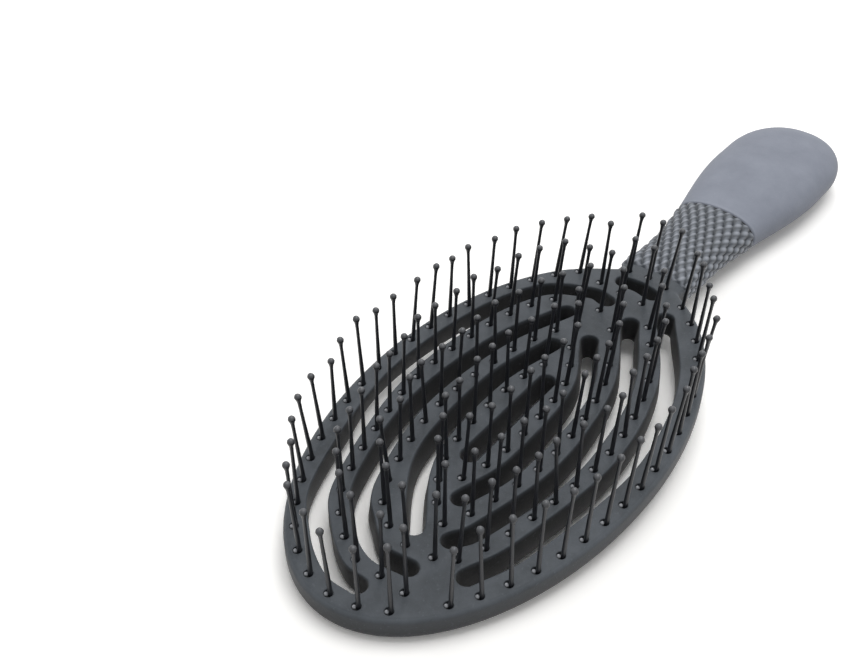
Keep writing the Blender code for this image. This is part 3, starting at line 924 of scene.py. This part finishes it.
def make_neck(material):
    """The rubber sleeve with its bumps, which begin on the head's collar.

    The sleeve lies a little under the frame's own, deeper on the head, and the bumps rise from it. A painted
    highlight is palest where they meet the same bumps moved a little round and along, and painted shade
    darkens the grooves and the sleeve's end under the grip's lip.
    """
    surface = Surface()
    sides = bumps_round * bump_sides
    turns = even_turns(sides)
    lengths = np.linspace(head_end_length - collar_overlap, grip_start_length + sleeve_tuck, sleeve_rings)
    top = np.interp(math.pi / 2, turns, np.arange(sides))
    across = (np.arange(sides) - top)[None, :] / sides * bumps_round + bump_turn_share
    along = (lengths[:, None] - bump_last_length) / bump_pitch
    fade = smooth_step((lengths - lengths[0]) / bump_start_run)
    fade = fade * smooth_step((grip_start_length - bump_end_gap - lengths) / bump_end_run)
    height = bumps(across, along) * fade[:, None]
    off_collar = smooth_step((lengths - head_end_length + sink_run / 2) / sink_run)
    sunk = collar_sink + (sleeve_sink - collar_sink) * off_collar
    grid = handle_grid(lengths, turns, height * bump_height - sunk[:, None])
    # Painted highlight on the side of each bump shifted round and along, and painted shade in the grooves
    moved = bumps(across - bump_highlight_shift, along - bump_highlight_shift)
    painted_light = bump_highlight * np.sqrt(height) * moved ** bump_highlight_power + groove_shade
    # Painted shade on the sleeve's end under the grip's lip
    painted_light[lengths > grip_start_length - sleeve_gap] = darkest_shade
    rings = [surface.ring(*ring) for ring in zip(grid, painted_light)]
    surface.walls(rings)
    surface.cone(rings[0], grid[0].mean(axis=0))
    surface.cone(rings[-1], grid[-1].mean(axis=0))
    return surface.build("neck_texture_sleeve", material)


def make_grip(material):
    """The smooth spoon-shaped grip, its lip turned in to meet the neck.

    The lip is a quarter of an ellipse, and the rings of the rounded end stand closer as it closes. Painted
    shade darkens the lip inside, and a painted highlight runs along its edge.
    """
    surface = Surface()
    cap_start = handle_end_length - handle_cap_length
    lip = np.linspace(0, math.pi / 2, lip_rings)
    lengths = np.concatenate([
        grip_start_length + lip_run * (1 - np.cos(lip)),
        np.linspace(grip_start_length + lip_run, cap_start, grip_rings)[1:],
        cap_start + handle_cap_length * np.sin(np.linspace(0, math.pi / 2, cap_rings)[1:-1]),
    ])
    proud = np.full(len(lengths), grip_step)
    proud[:lip_rings] -= lip_drop * (1 - np.sin(lip))
    proud = proud * np.sqrt(1 - cap_share(lengths) ** cap_width_power)
    grid = handle_grid(lengths, even_turns(grip_sides), proud[:, None])
    # Painted highlight along the lip's edge
    from_edge = lengths - grip_start_length - lip_run
    painted_light = np.exp(-(from_edge / lip_highlight_reach) ** 2) * lip_highlight
    # Painted shade on the first ring, inside the lip
    painted_light[0] = darkest_shade
    rings = [surface.ring(*ring) for ring in zip(grid, painted_light)]
    surface.walls(rings)
    surface.cone(rings[0], grid[0].mean(axis=0))
    end_axis = handle_section(np.array([handle_end_length]))[2][0]
    surface.cone(rings[-1], (-handle_end_length, 0.0, -end_axis))
    return surface.build("soft_touch_grip", material, sharp=60)


# Pins

def pins_of(node):
    """The places of a CAD strip's highest points, its pins, in order towards the tip along their main run."""
    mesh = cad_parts[node].data
    points = np.empty(len(mesh.vertices) * 3)
    mesh.vertices.foreach_get("co", points)
    points = points.reshape(-1, 3)
    tops = points[points[:, 2] > points[:, 2].max() - pin_top_slack]
    tops = np.unique(np.round(tops[:, :2], 5), axis=0) - np.array([middle_x, 0.0])
    spread = tops - tops.mean(axis=0)
    main = np.linalg.svd(spread)[2][0]
    return tops[np.argsort(spread @ main * np.sign(main[0]))]


def lean_at(place):
    """How far a pin at this place leans per metre of height: in a slight twist round the head's middle."""
    x, y = place / np.array(twist_reach)
    return np.array(middle_lean) + np.array(twist_lean) * np.array([y, x])


def pin_profile():
    """The radius and height of each ring of a pin: its foot in the strip, its shaft and its round ball."""
    ball = pin_height - pin_ball_radius
    shaft = [
        (pin_foot_radius * 1.16, -strip_top_depth - 0.0002),
        (pin_foot_radius * 1.12, -0.0012),
        (pin_foot_radius, 0.0004),
        (pin_foot_radius * 0.97, 0.0040),
        (pin_top_radius * 1.08, 0.0100),
        (pin_top_radius, 0.0142),
        (pin_top_radius * 1.10, ball - pin_ball_radius * 1.75),
        (pin_top_radius * 1.38, ball - pin_ball_radius * 1.15),
    ]
    turns = np.radians(pin_ball_turns)
    rings = np.stack([pin_ball_radius * np.cos(turns), ball + pin_ball_radius * np.sin(turns)], axis=1)
    return np.vstack([shaft, rings])


def add_strip(surface, places):
    """The bar under a row of pins: a band along them that goes on a little past the first and the last."""
    before = (places[0] - places[1]) / np.linalg.norm(places[0] - places[1])
    after = (places[-1] - places[-2]) / np.linalg.norm(places[-1] - places[-2])
    row = np.vstack([places[0] + before * strip_end_length, places, places[-1] + after * strip_end_length])
    bar = band(row, strip_half_width, strip_end_steps)
    top = surface.level(bar, strip_top_depth)
    bottom = surface.level(bar, strip_bottom_depth)
    surface.walls([top, bottom])
    surface.fill(top, [])
    surface.fill(bottom, [])


def add_pin(surface, place, lean):
    """A pin, its rings centred on a line that leans from the foot, with a painted highlight on its ball,
    paler towards the top.
    """
    profile = pin_profile()
    foot = np.array([*(place + np.array(pin_shift)), 0.0])
    bend = np.maximum(profile[:, 1], 0.0)
    centres = foot + np.stack([lean[0] * bend, lean[1] * bend, profile[:, 1]], axis=1)
    ball = pin_height - pin_ball_radius
    up_ball = (profile[:, 1] - ball) / pin_ball_radius
    # Painted highlight on the upper part of the ball
    painted_light = smooth_step(up_ball - pin_ball_highlight_start) * pin_ball_highlight
    round_pin = np.column_stack([circle(pin_sides), np.zeros(pin_sides)])
    rings = [surface.ring(centre + round_pin * radius, pale)
             for centre, radius, pale in zip(centres, profile[:, 0], painted_light)]
    surface.walls(rings)
    surface.cone(rings[0], foot + np.array([0, 0, profile[0, 1]]))
    tip = foot + np.array([lean[0] * pin_height, lean[1] * pin_height, pin_height])
    surface.cone(rings[-1], tip, pin_ball_highlight)


def add_bead(surface, place):
    """The small ball in the mouth of a pin's hole, made pale all over by a painted highlight."""
    middle = np.array([*place, 0.0]) + np.array(bead_shift)
    round_bead = np.column_stack([circle(pin_sides), np.zeros(pin_sides)]) * bead_radius
    up = np.array([0, 0, bead_radius])
    # Painted highlight all over the bead
    rings = [surface.ring(middle + round_bead * math.cos(turn) + up * math.sin(turn), 1.0)
             for turn in map(math.radians, bead_turns)]
    surface.walls(rings)
    surface.cone(rings[0], middle - up, 1.0)
    surface.cone(rings[-1], middle + up, 1.0)


def make_pins(node, material, seed):
    """A strip of pins with ball ends on the bar that is moulded into the head, and the bead at each foot.

    A pin leans by the twist and a scatter of at most twice its usual size, or as the rim's table says.
    """
    surface = Surface()
    places = pins_of(node)
    add_strip(surface, places)
    chance = np.random.default_rng(seed)
    known = rim_leans.get(node, [])
    for number, place in enumerate(places):
        scatter = chance.normal(0.0, scatter_lean, 2).clip(-scatter_lean * 2, scatter_lean * 2)
        lean = lean_at(place) + scatter
        if number < len(known):
            lean = np.array(known[number])
        add_pin(surface, place, lean)
        add_bead(surface, place)
    return surface.build(node + "_fitted", material)


# The picture's view, lamps and floor

def make_camera():
    """A camera at the picture's viewing angle, its upward direction square to the other two."""
    forward = Vector(camera_forward).normalized()
    right = Vector(camera_right)
    right = (right - forward * right.dot(forward)).normalized()
    up = right.cross(forward)
    lens = bpy.data.cameras.new("view")
    lens.lens = camera_lens
    lens.sensor_width = camera_film_width
    lens.clip_start, lens.clip_end = camera_reach
    camera = bpy.data.objects.new("view", lens)
    turn = Matrix((right, up, -forward)).transposed()
    camera.matrix_world = Matrix.Translation(camera_place) @ turn.to_4x4()
    bpy.context.scene.collection.objects.link(camera)
    bpy.context.scene.camera = camera


def make_lamp(name, place, aim, size, power):
    data = bpy.data.lights.new(name, 'AREA')
    data.shape = 'DISK'
    data.size = size
    data.energy = power
    lamp = bpy.data.objects.new(name, data)
    lamp.location = place
    lamp.rotation_euler = (Vector(aim) - Vector(place)).to_track_quat('-Z', 'Y').to_euler()
    bpy.context.scene.collection.objects.link(lamp)


def make_floor():
    """A wide sheet that touches the grip's underside and the head's back at the tip, and so is tilted."""
    grip_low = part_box("handle_grip")[0]
    back_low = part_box("head_back")[0]
    tilt = math.atan2(back_low.z - grip_low.z, contact_distance)
    contact = Vector((grip_contact_x, 0.0, grip_low.z - floor_gap))
    half = floor_half_width
    corners = []
    for x, y in ((-half, -half), (half, -half), (half, half), (-half, half)):
        corners.append((contact.x + x * math.cos(tilt), y, contact.z + x * math.sin(tilt)))
    mesh = bpy.data.meshes.new("floor")
    mesh.from_pydata(corners, [], [(0, 1, 2, 3)])
    mesh.materials.append(pale_floor("pale_floor"))
    floor = bpy.data.objects.new("floor", mesh)
    bpy.context.scene.collection.objects.link(floor)


def make_world():
    """Soft light from all round, seen as plain white behind the floor but giving less light than that."""
    world = bpy.data.worlds.new("studio")
    bpy.context.scene.world = world
    world.use_nodes = True
    nodes = Nodes(world.node_tree)
    background = nodes.tree.nodes["Background"]
    background.inputs["Color"].default_value = (1.0, 1.0, 1.0, 1.0)
    strength = nodes.between(nodes.seen(), 0.0, 1.0, world_lighting, world_seen)
    nodes.feed(background.inputs["Strength"], strength)


def main():
    make_camera()
    bpy.context.scene.view_settings.view_transform = 'Standard'
    make_world()
    make_floor()
    for name, settings in lamps.items():
        make_lamp(name, *settings)

    # The light tones serve the pale specks and the painted highlights
    slate = soft_touch("head_slate", shade(52, 57, 62), shade(79, 84, 90), shade(108, 114, 120), 0.60)
    rubber = soft_touch("neck_rubber", shade(56, 61, 67), shade(68, 73, 80), shade(152, 157, 166), 0.50,
                        highlight_share=0.85, gloss=0.45)
    coat = soft_touch("grip_coat", shade(122, 127, 139), shade(135, 140, 152), shade(154, 159, 170), 0.66)
    nylon = glossy_nylon("pin_nylon")

    strips = sorted(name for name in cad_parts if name.startswith("pins_"))
    holes = np.vstack([pins_of(name) for name in strips]) + np.array([hole_shift, 0.0])
    dressed = [
        (make_head(slate, holes), "slate_moulding", ["head_frame", "head_back"]),
        (make_neck(rubber), "textured_sleeve", ["neck_sleeve"]),
        (make_grip(coat), "soft_grip", ["handle_grip"]),
    ]
    for number, name in enumerate(strips):
        dressed.append((make_pins(name, nylon, number), "black_nylon", [name]))
    for piece, slot, nodes in dressed:
        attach(piece, "root")
        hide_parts(*nodes)


main()
